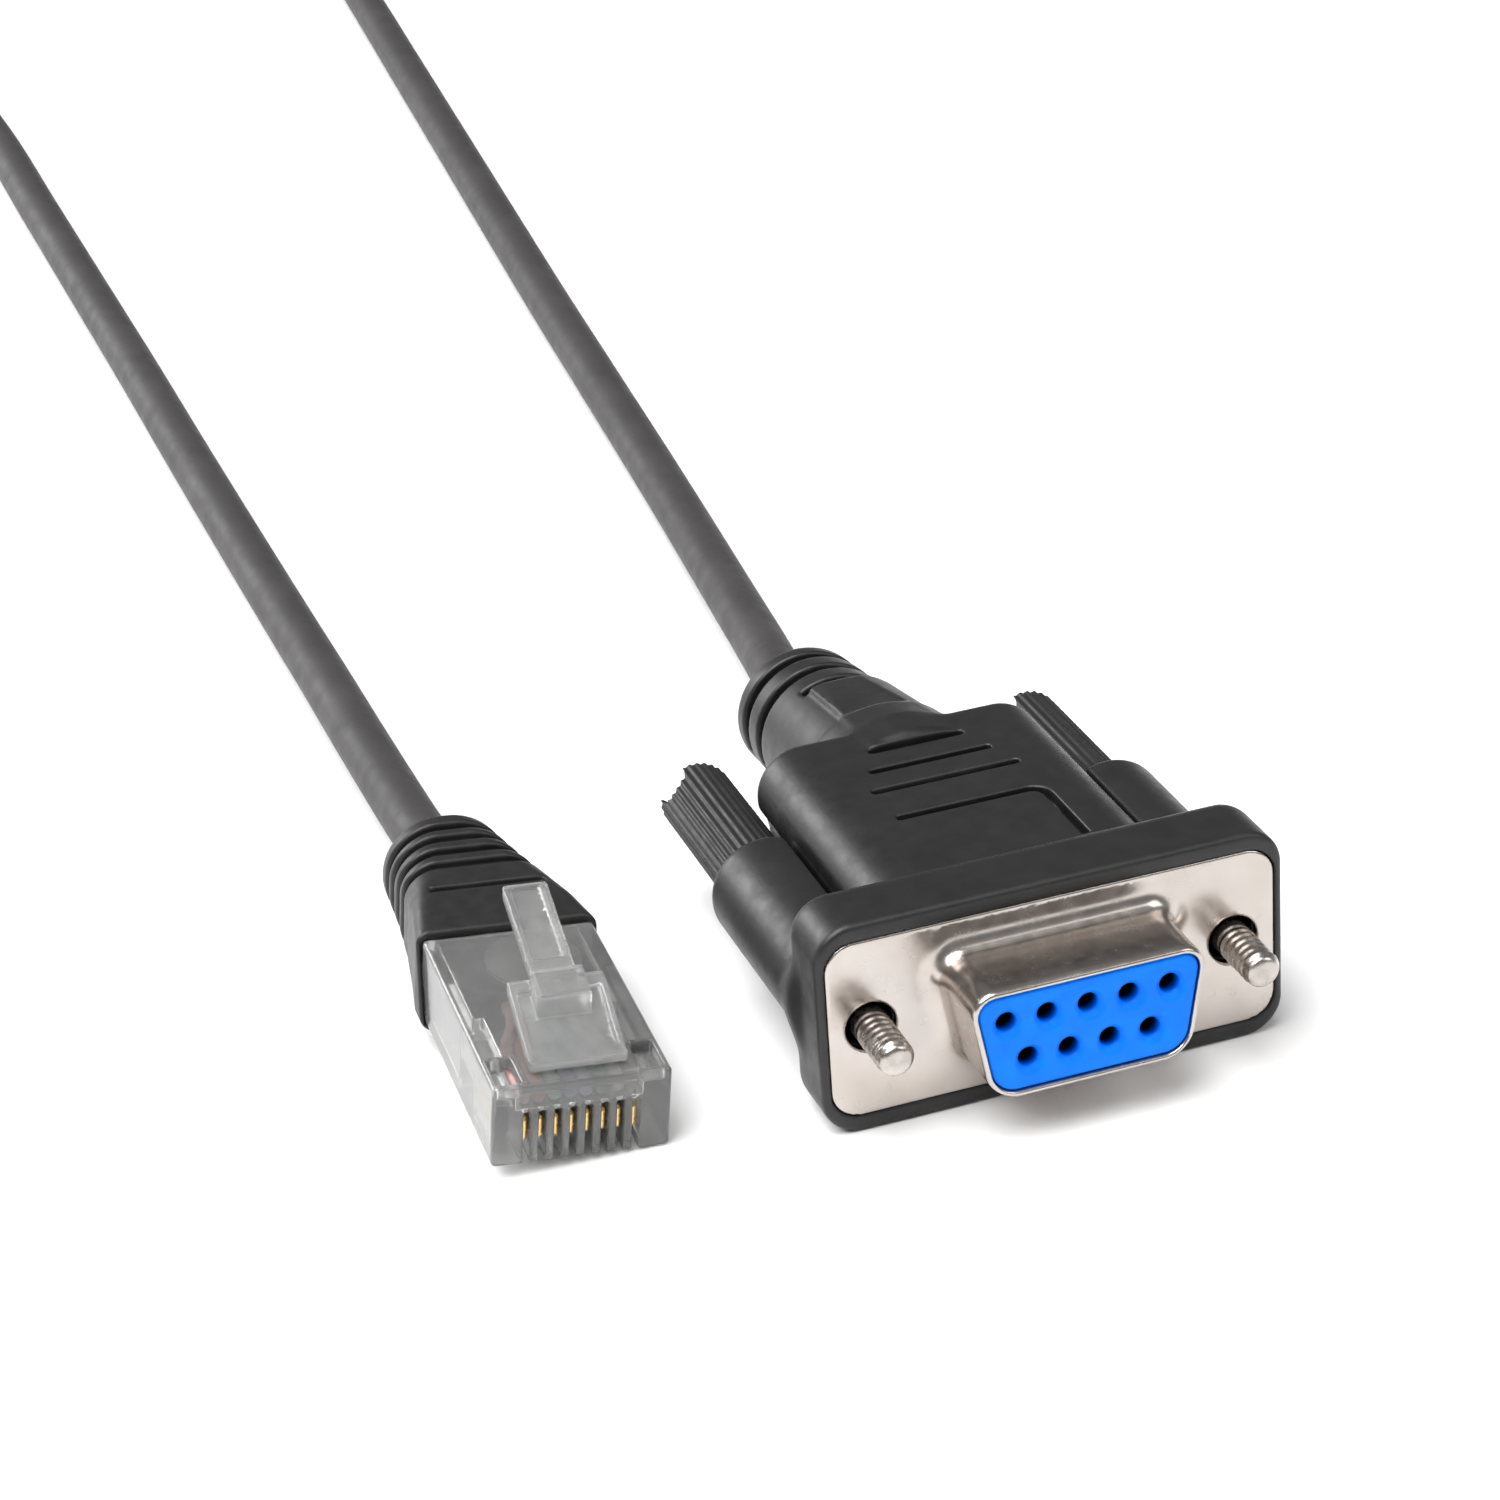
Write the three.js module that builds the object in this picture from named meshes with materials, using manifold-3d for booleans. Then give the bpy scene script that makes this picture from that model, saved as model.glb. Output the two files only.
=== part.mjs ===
// Serial cable: a nine-way D connector with thumbscrews on one end and a clear
// eight-way modular plug on the other, joined by one round cable.
// Millimetres, +Z up. The D connector faces -Y and its cable leaves towards +Y.
import * as THREE from 'three';
import { mergeVertices } from 'three/addons/utils/BufferGeometryUtils.js';
import Module from 'manifold-3d';

const wasm = await Module();
wasm.setup();

// General clearances
const gap = 0.3;
const slip = 0.12;
const overlap = 0.5;
const past = 1;

// Metal front of the D connector: the plate face is at y = 0, its centre at x = z = 0
const plateWidth = 30.8;
const plateHeight = 12.55;
const plateThick = 0.8;
const plateCorner = 2.0;
const shellTopWidth = 16.33;
const shellHeight = 7.9;
const shellReach = 5.9;
const shellWall = 0.45;
const shellCorner = 1.9;
const shellFlare = 0.5;
const shellSlope = THREE.MathUtils.degToRad(10);

// Socket block and its nine contacts
const blockRecess = 0.25;
const blockBehind = 4.2;
const socketPitch = 2.77;
const socketRow = 1.42;
const socketHole = 0.66;
const socketMouth = 0.92;
const socketMouthDepth = 0.35;
const socketOuter = 0.56;
const socketBore = 0.36;
const socketSunk = 0.9;

// Hood moulded round the D connector
const rimWidth = 32;
const rimHeight = 15;
const rimDepth = 5.5;
const rimCorner = 2.6;
const rimEase = 0.6;
const bodyHalfWidth = 10.4;
const bodyHalfHeight = 6.2;
const bodyCorner = 3.2;
const bodyBack = 27.6;
const bodyEase = 0.7;
const pressedLine = 0.5;
const pressedDepth = 0.5;
const lineWidth = 0.55;

// Jackscrews and the half-round bosses that carry them
const screwX = 12.495;
const screwRadius = 1.25;
const screwTip = 4.7;
const screwHole = 1.7;
const bossRadius = 3.85;
const bossBack = 20.3;
const bossSlot = 0.6;
const knobRadius = 2.6;
const knobFlute = 0.22;
const knobFlutes = 18;
const knobBack = 34.7;
const knobCollar = 1.2;
const knobNotch = 1.5;
const knobNotchDepth = 1.4;
const knobNotchTurn = THREE.MathUtils.degToRad(-38);
const screwInKnob = 9;

// Strain relief moulded with the hood
const reliefStart = 6.4;
const reliefEnd = 4.9;
const reliefBack = 46.4;
const reliefDroop = 0.95;
const reliefAside = -0.6;
const reliefGroove = 0.7;
const reliefGrooveWidth = 0.9;
const reliefGrooves = [41.0, 44.0];
const reliefTopGroove = 38.2;

// Clear modular plug: its own frame has the front face at y = 0 and the latch up
const plugWidth = 11.68;
const plugHeight = 5.8;
const plugLength = 18.6;
const plugCorner = 0.35;
const plugWall = 1.0;
const wayPitch = 1.02;
const ways = 8;
const slotWidth = 0.5;
const slotLength = 6.2;
const slotTop = 0.9;
const bladeThick = 0.3;
const bladeFront = 0.4;
const bladeLength = 5.2;
const bladeFoot = 0.35;
const wireRadius = 0.42;
const wireHeight = 1.35;
const chamberRoof = 1.95;
const chamberFloor = 0.75;
const cavityFront = 9.0;
const cavityHalfHeight = 2.0;
const tongueFront = 11.4;

// Latch lever of the plug: it rises from its root at the front, then runs back more flatly
const latchRootY = 1.0;
const latchWideHalf = 3.2;
const latchHalf = 1.5;
const latchThick = 0.85;
const latchShoulderY = 7.2;
const latchShoulderRise = 2.45;
const latchTipY = 15.2;
const latchTipRise = 4.8;
const latchBlockHalf = 1.75;
const latchBlockStart = 4.4;
const latchBlockEnd = 6.6;
const latchBlockHeight = 0.8;

// Boot of the plug
const bootStart = plugLength + gap;
const bootBack = 34.2;
const bootGrooves = [27.0, 28.8, 30.65, 32.4];
const bootGroove = 0.5;
const bootGrooveWidth = 0.75;
const bootLineY = 23.9;
// Sections from the housing to the cable end: flat-sided at first, round and slightly sagging at the end
const bootSections = [
  { y: bootStart, half: 6.2, tall: 3.3, round: 0.9, aside: 0, sag: 0 },
  { y: 22.0, half: 5.6, tall: 3.45, round: 1.1, aside: -0.05, sag: 0 },
  { y: 25.0, half: 5.1, tall: 3.6, round: 1.8, aside: -0.15, sag: 0.1 },
  { y: 29.0, half: 4.65, tall: 3.85, round: 2.9, aside: -0.35, sag: 0.35 },
  { y: bootBack, half: 4.3, tall: 4.15, round: 4.1, aside: -0.6, sag: 0.8 },
];

// Where the plug lies, from the plate centre of the D connector
const plugX = -30.73;
const plugY = 3.88;
const plugYaw = THREE.MathUtils.degToRad(-1.8);
const plugPitch = THREE.MathUtils.degToRad(3.0);
const plugRoll = THREE.MathUtils.degToRad(6.0);

// Cable
const cableRadius = 2.0;
const cableSides = 10;
const cableStep = 10;
const turnPitch = 4.1;
const turnsAcross = 4;
const turnsHigh = 2;
const coilMeanRadius = 22;
const coilX = -6;
const coilY = 325;
const coilSides = 48;

// The floor is level with the underside of the rim, the origin under the middle of the connector
const floorZ = -rimHeight / 2;
const middleY = (reliefBack - shellReach) / 2;

// Solid helpers
function toSolid(geometry) {
  const bare = new THREE.BufferGeometry();
  bare.setAttribute('position', geometry.getAttribute('position').clone());
  if (geometry.index) {
    bare.setIndex(geometry.index.clone());
  }
  const merged = mergeVertices(bare, 1e-4);
  const corners = merged.index.array;
  const kept = [];
  for (let i = 0; i < corners.length; i += 3) {
    const [a, b, c] = [corners[i], corners[i + 1], corners[i + 2]];
    if (a !== b && b !== c && c !== a) {
      kept.push(a, b, c);
    }
  }
  return new wasm.Manifold(new wasm.Mesh({
    numProp: 3,
    vertProperties: new Float32Array(merged.attributes.position.array),
    triVerts: new Uint32Array(kept),
  }));
}

function toGeometry(solid) {
  const mesh = solid.getMesh();
  const geometry = new THREE.BufferGeometry();
  geometry.setAttribute('position', new THREE.BufferAttribute(new Float32Array(mesh.vertProperties), 3));
  geometry.setIndex(new THREE.BufferAttribute(new Uint32Array(mesh.triVerts), 1));
  return geometry;
}

// A closed ring in the xz plane with rounded corners; corners run from +x towards +z
function roundedRing(corners, radius, y, steps = 4) {
  const ring = [];
  corners.forEach(([x, z], i) => {
    const here = new THREE.Vector2(x, z);
    const before = new THREE.Vector2(...corners[(i + corners.length - 1) % corners.length]);
    const after = new THREE.Vector2(...corners[(i + 1) % corners.length]);
    const back = before.sub(here).normalize();
    const on = after.sub(here).normalize();
    const half = Math.acos(THREE.MathUtils.clamp(back.dot(on), -1, 1)) / 2;
    const centre = here.clone().add(back.clone().add(on).normalize().multiplyScalar(radius / Math.sin(half)));
    const start = here.clone().add(back.clone().multiplyScalar(radius / Math.tan(half))).sub(centre).angle();
    const turn = Math.PI - 2 * half;
    for (let k = 0; k <= steps; k += 1) {
      const angle = start + turn * k / steps;
      ring.push(new THREE.Vector3(centre.x + radius * Math.cos(angle), y, centre.y + radius * Math.sin(angle)));
    }
  });
  return ring;
}

function boxRing(halfWidth, halfHeight, radius, y, steps) {
  const [w, h] = [halfWidth, halfHeight];
  return roundedRing([[w, -h], [w, h], [-w, h], [-w, -h]], radius, y, steps);
}

// The D outline: wide at the top, its sides leaning in towards the bottom
function shellRing(grow, y) {
  const h = shellHeight / 2 + grow;
  const top = shellTopWidth / 2 + grow;
  const bottom = top - 2 * h * Math.tan(shellSlope);
  return roundedRing([[bottom, -h], [top, h], [-top, h], [-bottom, -h]], shellCorner + grow, y, 5);
}

function circleRing(x, z, radius, y, sides) {
  const ring = [];
  for (let i = 0; i < sides; i += 1) {
    const angle = 2 * Math.PI * i / sides;
    ring.push(new THREE.Vector3(x + radius * Math.cos(angle), y, z + radius * Math.sin(angle)));
  }
  return ring;
}

// A closed skin through rings that follow each other along +y
function loft(rings) {
  const count = rings[0].length;
  const points = rings.flat();
  const middles = [rings[0], rings[rings.length - 1]].map((ring) => {
    const sum = ring.reduce((total, point) => total.add(point), new THREE.Vector3());
    return sum.multiplyScalar(1 / count);
  });
  const index = [];
  for (let k = 0; k < rings.length - 1; k += 1) {
    for (let i = 0; i < count; i += 1) {
      const a = k * count + i;
      const b = k * count + (i + 1) % count;
      index.push(a, a + count, b, b, a + count, b + count);
    }
  }
  const last = (rings.length - 1) * count;
  for (let i = 0; i < count; i += 1) {
    const next = (i + 1) % count;
    index.push(points.length, i, next);
    index.push(points.length + 1, last + next, last + i);
  }
  const geometry = new THREE.BufferGeometry().setFromPoints([...points, ...middles]);
  geometry.setIndex(index);
  return toSolid(geometry);
}

function turned(profile, x, z, sides) {
  return loft(profile.map(([y, radius]) => circleRing(x, z, radius, y, sides)));
}

function rod(x, z, radius, y0, y1, sides = 24) {
  return turned([[y0, radius], [y1, radius]], x, z, sides);
}

function box(x0, x1, y0, y1, z0, z1) {
  const geometry = new THREE.BoxGeometry(x1 - x0, y1 - y0, z1 - z0);
  geometry.translate((x0 + x1) / 2, (y0 + y1) / 2, (z0 + z1) / 2);
  return toSolid(geometry);
}

// An upright post: a disc seen from above
function post(x, y, radius, z0, z1, sides = 40) {
  const geometry = new THREE.CylinderGeometry(radius, radius, z1 - z0, sides);
  geometry.rotateX(Math.PI / 2);
  geometry.translate(x, y, (z0 + z1) / 2);
  return toSolid(geometry);
}

// D connector
const connectorParts = {};
const blockFront = -(shellReach - blockRecess);
const blockBack = plateThick + blockBehind;

function socketPlaces() {
  const places = [];
  for (let i = 0; i < 5; i += 1) {
    places.push([(i - 2) * socketPitch, socketRow]);
  }
  for (let i = 0; i < 4; i += 1) {
    places.push([(i - 1.5) * socketPitch, -socketRow]);
  }
  return places;
}

function metalFront() {
  let plate = loft([
    boxRing(plateWidth / 2, plateHeight / 2, plateCorner, 0),
    boxRing(plateWidth / 2, plateHeight / 2, plateCorner, plateThick),
  ]);
  const collar = loft([
    shellRing(-0.15, -shellReach),
    shellRing(0, -shellReach + 0.2),
    shellRing(0, -shellFlare * 2),
    shellRing(shellFlare * 0.4, -shellFlare),
    shellRing(shellFlare, 0),
    shellRing(shellFlare, plateThick),
  ]);
  const inside = loft([
    shellRing(-shellWall, -shellReach - past),
    shellRing(-shellWall, plateThick + past),
  ]);
  plate = plate.add(collar).subtract(inside);
  [-screwX, screwX].forEach((x) => {
    plate = plate.subtract(rod(x, 0, screwHole, -past, plateThick + past));
  });
  return plate;
}

function socketBlock() {
  let block = loft([
    shellRing(-shellWall - slip, blockFront),
    shellRing(-shellWall - slip, blockBack),
  ]);
  socketPlaces().forEach(([x, z]) => {
    block = block.subtract(turned([
      [blockFront - socketMouthDepth, socketMouth + socketMouthDepth],
      [blockFront + socketMouthDepth, socketHole],
      [blockBack + past, socketHole],
    ], x, z, 16));
  });
  return block;
}

function socketContact(x, z) {
  const front = blockFront + socketSunk;
  const tube = rod(x, z, socketOuter, front, blockBack, 12);
  return tube.subtract(rod(x, z, socketBore, front - past, blockBack - 1.5, 12));
}

function screwAndKnob(x) {
  const knobFront = bossBack + gap;
  const screw = turned([
    [-screwTip, screwRadius - 0.35],
    [-screwTip + 0.4, screwRadius],
    [knobFront + screwInKnob, screwRadius],
  ], x, 0, 20);
  const sides = knobFlutes * 4;
  const fluted = (y, cut) => circleRing(x, 0, knobRadius, y, sides).map((point, i) => {
    const depth = i % 4 < 2 ? 0 : cut;
    const scale = (knobRadius - depth) / knobRadius;
    return new THREE.Vector3(x + (point.x - x) * scale, y, point.z * scale);
  });
  let knob = loft([
    fluted(knobFront, 0),
    fluted(knobFront + knobCollar, 0),
    fluted(knobFront + knobCollar + 0.2, knobFlute),
    fluted(knobBack, knobFlute),
  ]);
  const notch = new THREE.BoxGeometry(knobNotch, knobNotchDepth * 2, knobRadius * 3);
  notch.rotateY(knobNotchTurn);
  notch.translate(x, knobBack, 0);
  knob = knob.subtract(toSolid(notch));
  knob = knob.subtract(rod(x, 0, screwRadius + slip, knobFront - past, knobFront + screwInKnob + gap, 20));
  return { screw, knob };
}

// Pressed lines on the hood top: three short bars and a half frame in front of them
function pressedLines() {
  const top = bodyHalfHeight + past;
  const bottom = bodyHalfHeight - pressedDepth;
  const bars = [[24.0, -2.9, 3.4], [21.2, -3.9, 4.3], [18.4, -4.8, 5.2]];
  const cuts = bars.map(([y, left, right]) => (
    box(left, right, y - lineWidth / 2, y + lineWidth / 2, bottom, top)
  ));
  const frameY = 14.3;
  const frameRight = 5.4;
  const frameRound = 1.2;
  cuts.push(box(-4.9, frameRight - frameRound, frameY - lineWidth / 2, frameY + lineWidth / 2, bottom, top));
  cuts.push(box(frameRight - lineWidth / 2, frameRight + lineWidth / 2, 7.0, frameY - frameRound, bottom, top));
  const centre = [frameRight - frameRound, frameY - frameRound];
  const bend = post(...centre, frameRound + lineWidth / 2, bottom, top)
    .subtract(post(...centre, frameRound - lineWidth / 2, bottom - past, top + past))
    .intersect(box(centre[0], centre[0] + 3, centre[1], centre[1] + 3, bottom, top));
  cuts.push(bend);
  return cuts;
}

// Strain relief: its grooves run round it but for the one nearest the hood, which is on top only
const reliefShare = (y) => (y - bodyBack) / (reliefBack - bodyBack);
const reliefRadius = (y) => {
  const left = 1 - THREE.MathUtils.clamp(reliefShare(y), 0, 1);
  return reliefEnd + (reliefStart - reliefEnd) * left ** 1.6;
};
const reliefMiddle = (y) => {
  const share = Math.max(reliefShare(y), 0);
  return [reliefAside * share, -reliefDroop * share * share];
};

function reliefSkin(profile) {
  return loft(profile.map(([y, radius]) => circleRing(...reliefMiddle(y), radius, y, 40)));
}

function strainRelief() {
  const profile = [[bodyBack - 3, reliefStart - 0.2], [bodyBack, reliefStart]];
  for (let y = bodyBack + 2; y < reliefGrooves[0] - reliefGrooveWidth; y += 2) {
    profile.push([y, reliefRadius(y)]);
  }
  const groove = (y) => {
    const half = reliefGrooveWidth / 2;
    return [
      [y - half - 0.2, reliefRadius(y - half)],
      [y - half, reliefRadius(y) - reliefGroove],
      [y + half, reliefRadius(y) - reliefGroove],
      [y + half + 0.2, reliefRadius(y + half)],
    ];
  };
  reliefGrooves.forEach((y) => profile.push(...groove(y)));
  profile.push([reliefBack - 0.7, reliefRadius(reliefBack)]);
  profile.push([reliefBack - 0.2, reliefRadius(reliefBack) - 0.3]);
  profile.push([reliefBack, reliefRadius(reliefBack) - 0.7]);
  const half = reliefGrooveWidth / 2;
  const y = reliefTopGroove;
  const topGroove = reliefSkin([[y - half, reliefStart + past], [y + half, reliefStart + past]])
    .subtract(reliefSkin([
      [y - half - past, reliefRadius(y) - reliefGroove],
      [y + half + past, reliefRadius(y) - reliefGroove],
    ]))
    .intersect(box(-3.2, 4.2, y - past, y + past, 2.2, rimHeight));
  return reliefSkin(profile)
    .intersect(box(-rimWidth, rimWidth, 0, reliefBack + past, -bodyHalfHeight + 0.2, rimHeight))
    .subtract(topGroove);
}

function hood() {
  const rim = loft([
    boxRing(rimWidth / 2 - 0.25, rimHeight / 2 - 0.25, rimCorner, 0),
    boxRing(rimWidth / 2, rimHeight / 2, rimCorner, 0.25),
    boxRing(rimWidth / 2, rimHeight / 2, rimCorner, rimDepth - rimEase),
    boxRing(rimWidth / 2 - rimEase, rimHeight / 2 - rimEase, rimCorner, rimDepth),
  ]);
  const body = loft([
    boxRing(bodyHalfWidth, bodyHalfHeight, bodyCorner, rimDepth - past, 6),
    boxRing(bodyHalfWidth, bodyHalfHeight, bodyCorner, bodyBack - bodyEase, 6),
    boxRing(bodyHalfWidth - bodyEase * 0.3, bodyHalfHeight - bodyEase * 0.3, bodyCorner, bodyBack - bodyEase * 0.3, 6),
    boxRing(bodyHalfWidth - bodyEase, bodyHalfHeight - bodyEase, bodyCorner, bodyBack, 6),
  ]);
  let whole = rim.add(body);
  [-screwX, screwX].forEach((x) => {
    const side = Math.sign(x);
    whole = whole.add(turned([
      [rimDepth - past, bossRadius],
      [bossBack - 0.4, bossRadius],
      [bossBack, bossRadius - 0.4],
    ], x, 0, 36).intersect(box(
      Math.min(x * 2, 0), Math.max(x * 2, 0),
      0, bossBack + past, -rimHeight, rimHeight,
    )));
    // Channels between boss and body, above and below
    const inner = side * bodyHalfWidth;
    const outer = side * (bodyHalfWidth + bossSlot);
    [1, -1].forEach((up) => {
      whole = whole.subtract(box(
        Math.min(inner, outer), Math.max(inner, outer),
        rimDepth + past, bossBack + past,
        up > 0 ? 1.2 : -rimHeight, up > 0 ? rimHeight : -1.2,
      ));
    });
    whole = whole.subtract(rod(x, 0, screwHole, -past, bossBack + past));
    // Room for the knob in the side of the body
    whole = whole.subtract(rod(x, 0, knobRadius + gap, bossBack, bodyBack + past, 36));
  });
  whole = whole.add(strainRelief());
  // Seat of the plate and room behind it for the socket block
  whole = whole.subtract(loft([
    boxRing(plateWidth / 2 + slip, plateHeight / 2 + slip, plateCorner + slip, -past),
    boxRing(plateWidth / 2 + slip, plateHeight / 2 + slip, plateCorner + slip, plateThick + slip),
  ]));
  whole = whole.subtract(loft([
    shellRing(gap, 0),
    shellRing(gap, blockBack + gap),
  ]));
  pressedLines().forEach((cut) => {
    whole = whole.subtract(cut);
  });
  return whole;
}

connectorParts.connector_hood = hood();
connectorParts.shell_plate = metalFront();
connectorParts.socket_block = socketBlock();
socketPlaces().forEach(([x, z], i) => {
  connectorParts[`socket_contact_${i + 1}`] = socketContact(x, z);
});
[['left', -screwX], ['right', screwX]].forEach(([side, x]) => {
  const { screw, knob } = screwAndKnob(x);
  connectorParts[`${side}_screw`] = screw;
  connectorParts[`${side}_thumb_knob`] = knob;
});

// Modular plug, in its own frame
const plugParts = {};
const wayX = (i) => (i - (ways - 1) / 2) * wayPitch;
const roof = plugHeight / 2;

function plugHousing() {
  let housing = loft([
    boxRing(plugWidth / 2 - 0.2, roof - 0.2, plugCorner, 0, 2),
    boxRing(plugWidth / 2, roof, plugCorner, 0.2, 2),
    boxRing(plugWidth / 2, roof, plugCorner, plugLength, 2),
  ]);
  const inner = plugWidth / 2 - plugWall;
  housing = housing.subtract(box(
    -inner, inner, cavityFront, plugLength + past, -cavityHalfHeight, cavityHalfHeight,
  ));
  const chamberHalf = wayX(ways - 1) + wireRadius + 0.2;
  housing = housing.subtract(box(
    -chamberHalf, chamberHalf, plugWall, cavityFront + overlap, chamberFloor, chamberRoof,
  ));
  for (let i = 0; i < ways; i += 1) {
    housing = housing.subtract(box(
      wayX(i) - slotWidth / 2, wayX(i) + slotWidth / 2,
      -past, slotLength, -roof - past, slotTop,
    ));
  }
  return housing;
}

function bootSection(y, cut) {
  const last = bootSections.length - 1;
  let k = 0;
  while (k < last - 1 && y > bootSections[k + 1].y) {
    k += 1;
  }
  const [a, b] = [bootSections[k], bootSections[k + 1]];
  const share = (y - a.y) / (b.y - a.y);
  const at = (key) => THREE.MathUtils.lerp(a[key], b[key], share);
  const half = at('half') - cut;
  const tall = at('tall') - cut;
  const round = Math.min(at('round') - cut * 0.5, half * 0.99, tall * 0.99);
  return boxRing(half, tall, round, y, 6).map((point) => (
    new THREE.Vector3(point.x + at('aside'), point.y, point.z - at('sag'))
  ));
}

function plugBoot() {
  const stations = [[bootStart, 0.15], [bootStart + 0.2, 0], [22.0, 0], [25.0, 0]];
  bootGrooves.forEach((y) => {
    const half = bootGrooveWidth / 2;
    stations.push([y - half - 0.2, 0], [y - half, bootGroove], [y + half, bootGroove], [y + half + 0.2, 0]);
  });
  stations.push([bootBack - 0.4, 0], [bootBack - 0.1, 0.15], [bootBack, 0.4]);
  let boot = loft(stations.map(([y, cut]) => bootSection(y, cut)));
  // Pressed line across the flat top
  const top = bootSections[1].tall;
  boot = boot.subtract(box(-3.9, 3.9, bootLineY - 0.3, bootLineY + 0.3, top - 0.4, top + past));
  // Tongue that fills the back of the clear housing
  const half = plugWidth / 2 - plugWall - slip;
  const high = cavityHalfHeight - slip;
  const bow = 6.5;
  const tongue = post(0, tongueFront + bow, bow, -high, high)
    .add(box(-half, half, tongueFront + bow * 0.7, bootStart + overlap, -high, high))
    .intersect(box(-half, half, tongueFront, bootStart + overlap, -high, high));
  return boot.add(tongue);
}

// One stretch of the lever: rectangles that follow each other along +y
function leverStretch(half, stations) {
  return loft(stations.map(([y, low, high]) => roundedRing(
    [[half, low], [half, high], [-half, high], [-half, low]], 0.12, y, 1,
  )));
}

function plugLatch() {
  const foot = roof + slip;
  const shoulder = foot + latchShoulderRise;
  const tip = foot + latchTipRise;
  const slope = (latchTipRise - latchShoulderRise) / (latchTipY - latchShoulderY);
  const back = (y) => shoulder + slope * (y - latchShoulderY);
  const wide = leverStretch(latchWideHalf, [
    [latchRootY, foot, foot + latchThick * 0.7],
    [latchRootY + 1.4, foot + 0.35, foot + 0.35 + latchThick],
    [latchShoulderY - 2.4, shoulder - 1.1, shoulder - 1.1 + latchThick],
    [latchShoulderY, shoulder, shoulder + latchThick],
  ]);
  const lever = leverStretch(latchHalf, [
    [latchShoulderY - 1.2, back(latchShoulderY - 1.2), back(latchShoulderY - 1.2) + latchThick],
    [latchTipY - 0.4, back(latchTipY - 0.4), back(latchTipY - 0.4) + latchThick],
    [latchTipY, tip + 0.15, tip + latchThick - 0.15],
  ]);
  const block = leverStretch(latchBlockHalf, [
    [latchBlockStart, back(latchBlockStart) - 0.3, back(latchBlockStart) + latchThick + latchBlockHeight - 0.3],
    [latchBlockEnd, back(latchBlockEnd), back(latchBlockEnd) + latchThick + latchBlockHeight],
  ]);
  return wide.add(lever).add(block);
}

plugParts.plug_housing = plugHousing();
plugParts.plug_latch = plugLatch();
plugParts.plug_boot = plugBoot();
for (let i = 0; i < ways; i += 1) {
  const x = wayX(i);
  plugParts[`plug_contact_${i + 1}`] = box(
    x - bladeThick / 2, x + bladeThick / 2,
    bladeFront, bladeFront + bladeLength,
    -roof + bladeFoot, wireHeight - wireRadius - 0.1,
  );
  plugParts[`plug_wire_${i + 1}`] = rod(
    x, wireHeight, wireRadius, plugWall + gap, tongueFront - gap, 10,
  );
}

// The plug rests on the lowest corner of its front edge
function plugPlacement() {
  const turn = new THREE.Matrix4().makeRotationFromEuler(new THREE.Euler(plugPitch, plugRoll, plugYaw, 'ZXY'));
  const lowest = Math.min(...[-1, 1].map((side) => (
    new THREE.Vector3(side * plugWidth / 2, 0, -roof).applyMatrix4(turn).z
  )));
  turn.setPosition(plugX, plugY, floorZ - lowest);
  return turn;
}

const placement = plugPlacement();
const bootLast = bootSections[bootSections.length - 1];
const bootExit = new THREE.Vector3(bootLast.aside, bootBack + gap, -bootLast.sag).applyMatrix4(placement);

// Cable: each run is drawn from its connector to the side of the coil
const lying = floorZ + cableRadius;
const coilOuter = coilMeanRadius + turnsAcross * turnPitch / 2;
const beside = coilOuter + gap + cableRadius;

function cableRun(points) {
  const curve = new THREE.CatmullRomCurve3(points.map((point) => new THREE.Vector3(...point)), false, 'centripetal');
  const section = new THREE.Shape();
  for (let i = 0; i < cableSides; i += 1) {
    const angle = 2 * Math.PI * (i + 0.5) / cableSides;
    const reach = cableRadius / Math.cos(Math.PI / cableSides) * 0.985;
    const corner = [reach * Math.cos(angle), reach * Math.sin(angle)];
    if (i === 0) {
      section.moveTo(...corner);
    } else {
      section.lineTo(...corner);
    }
  }
  section.closePath();
  return toSolid(new THREE.ExtrudeGeometry(section, {
    steps: Math.round(curve.getLength() / cableStep),
    bevelEnabled: false,
    extrudePath: curve,
  }));
}

const cableParts = {};
const floorHeight = lying + 0.05;
cableParts.cable_socket_run = cableRun([
  [reliefAside, reliefBack + gap, -reliefDroop],
  [-0.55, 48.7, -1.15],
  [0.25, 53, -1.65],
  [1.38, 60, -2.5],
  [2.54, 68, -3.4],
  [3.91, 78, -4.35],
  [5.38, 90, -5.1],
  [6.8, 104, floorHeight],
  [8.59, 125, floorHeight],
  [10.63, 149, floorHeight],
  [13.0, 175, floorHeight],
  [15.29, 200, floorHeight],
  [18.03, 230, floorHeight],
  [20.59, 258, floorHeight],
  [coilX + beside, coilY, floorHeight],
]);
cableParts.cable_plug_run = cableRun([
  bootExit.toArray(),
  [-30.34, 40, -3.0],
  [-30.38, 45, -3.3],
  [-30.2, 53, -3.9],
  [-29.98, 63, -4.5],
  [-29.75, 75, -5.0],
  [-29.64, 88, -5.35],
  [-29.6, 102, floorHeight],
  [-29.55, 126, floorHeight],
  [-29.42, 150, floorHeight],
  [-29.41, 175, floorHeight],
  [-29.41, 200, floorHeight],
  [-29.41, 228, floorHeight],
  [-30.6, 255, floorHeight],
  [-34.4, 290, floorHeight],
  [coilX - beside, coilY, floorHeight],
]);

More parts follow.
